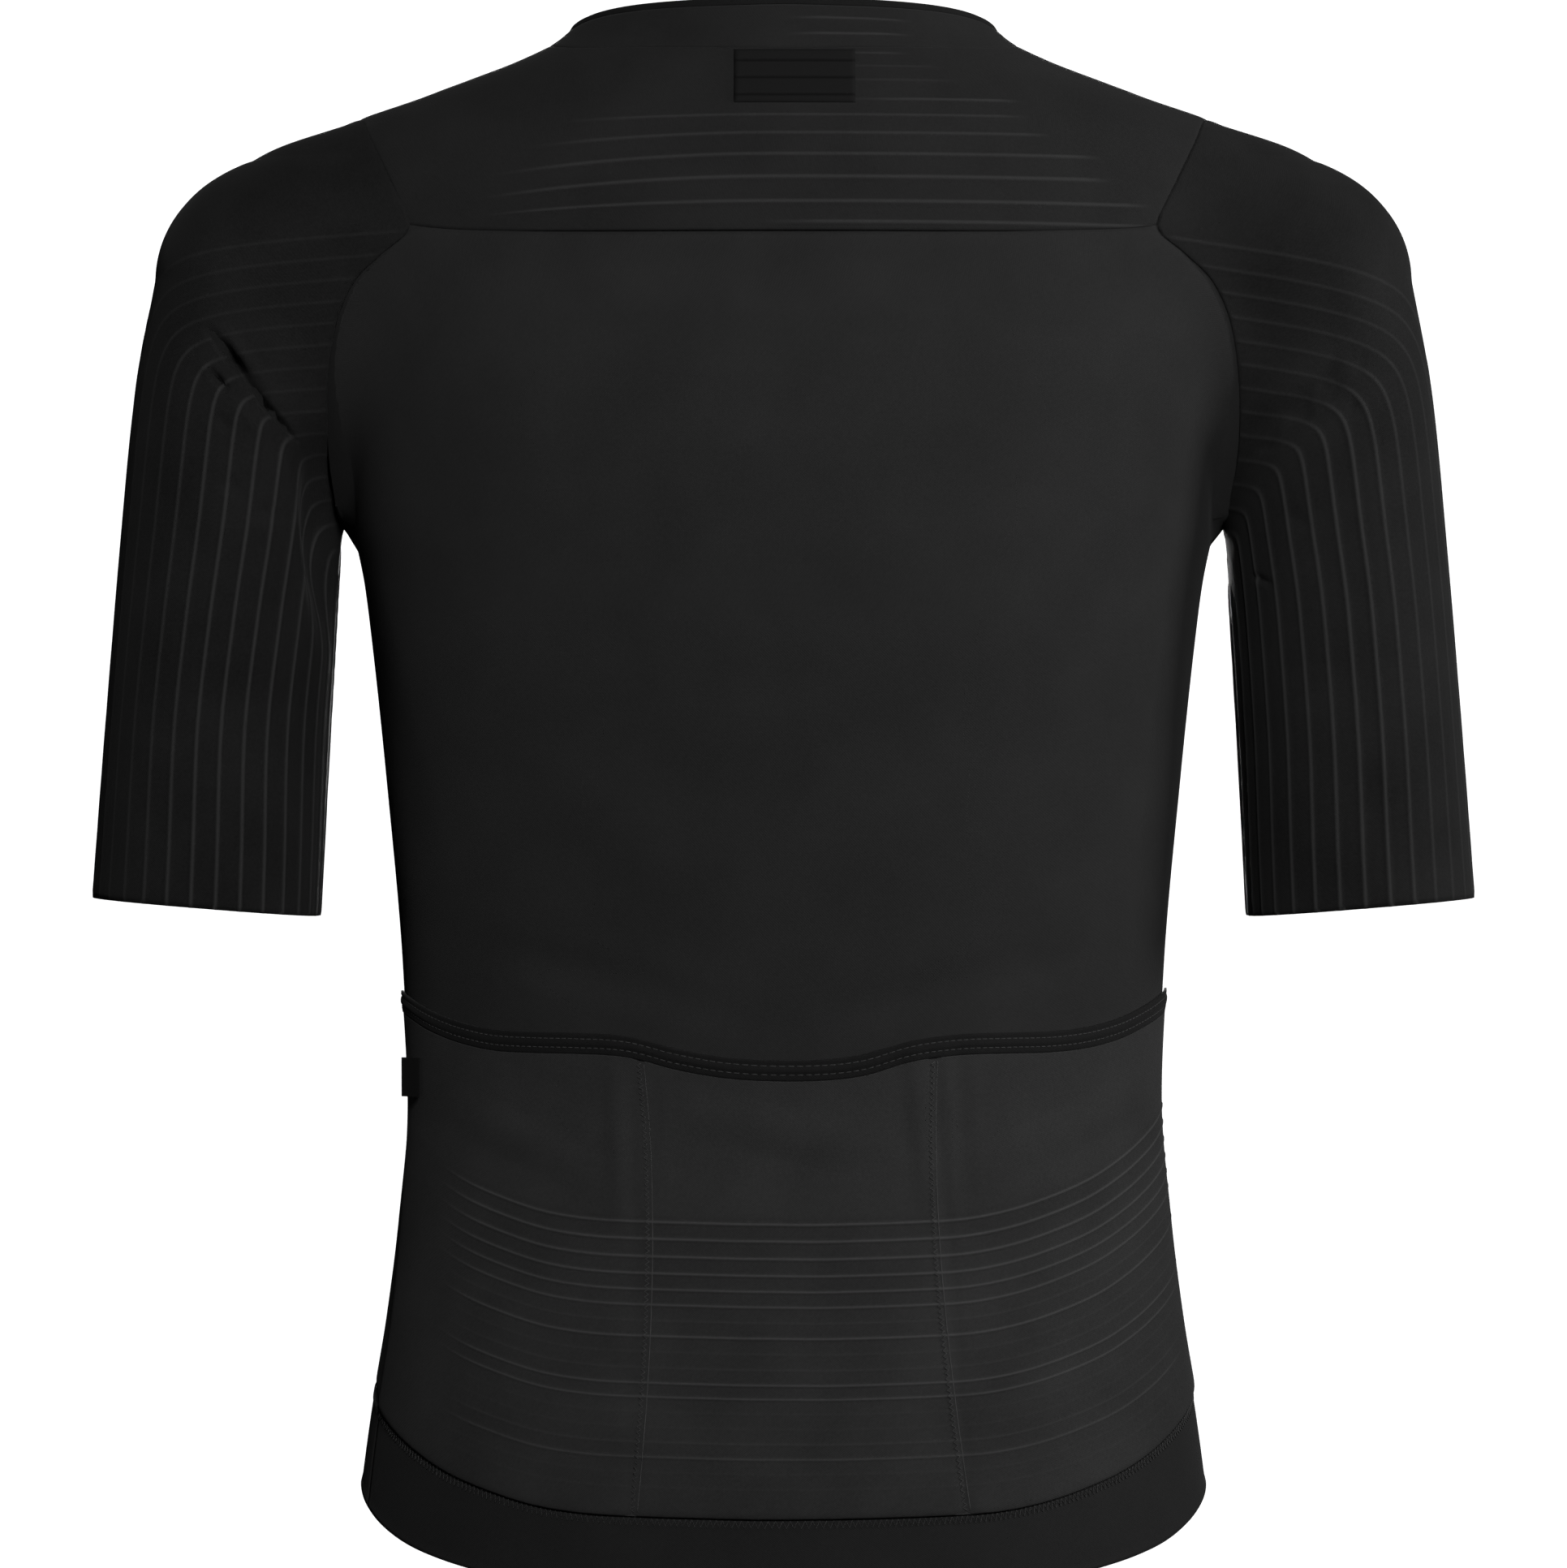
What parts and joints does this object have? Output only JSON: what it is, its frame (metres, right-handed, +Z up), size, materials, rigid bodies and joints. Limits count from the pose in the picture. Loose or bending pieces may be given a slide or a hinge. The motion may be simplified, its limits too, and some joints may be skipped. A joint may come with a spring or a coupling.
{
  "type": "cycling jersey",
  "caption": "Race-fit short-sleeved cycling jersey with a full front zip, ribbed shoulder yoke and sleeves, and rear pockets, held in its worn, hollow shape.",
  "frame": {"origin": "middle of the neck base, where the wearer's shoulders or a form carry the jersey", "axes": "+Z up, the wearer faces -Y, +X to the wearer's left"},
  "size_m": [0.5714, 0.2278, 0.6434],
  "materials": {
    "smooth_knit": "matt smooth knit",
    "ribbed_knit": "matt knit with raised ribs",
    "elastic_band": "matt elastic band",
    "zip_tape": "woven tape",
    "coated_metal": "black coating",
    "woven_tab": "plain woven tape"
  },
  "bodies": {
    "jersey": {"back_panel": "smooth_knit", "back_yoke": "ribbed_knit", "collar": "ribbed_knit", "collar_binding": "elastic_band", "front_left": "smooth_knit", "front_right": "smooth_knit", "hem_band_back": "elastic_band", "hem_band_front_left": "elastic_band", "hem_band_front_right": "elastic_band", "pocket_mouth_band": "elastic_band", "pocket_panel": "ribbed_knit", "side_tab": "woven_tab", "sleeve_left": "ribbed_knit", "sleeve_right": "ribbed_knit", "zip_slider": "coated_metal", "zip_tape_left": "zip_tape", "zip_tape_right": "zip_tape"},
    "pull": {"zip_pull": "coated_metal"}
  },
  "joints": [
    {"name": "pull_swing", "type": "hinge", "parent": "jersey", "child": "pull", "pos_m": [0, -0.06596, -0.04242], "axis": [-1, 0, 0], "range_deg": [0, 120]}
  ]
}
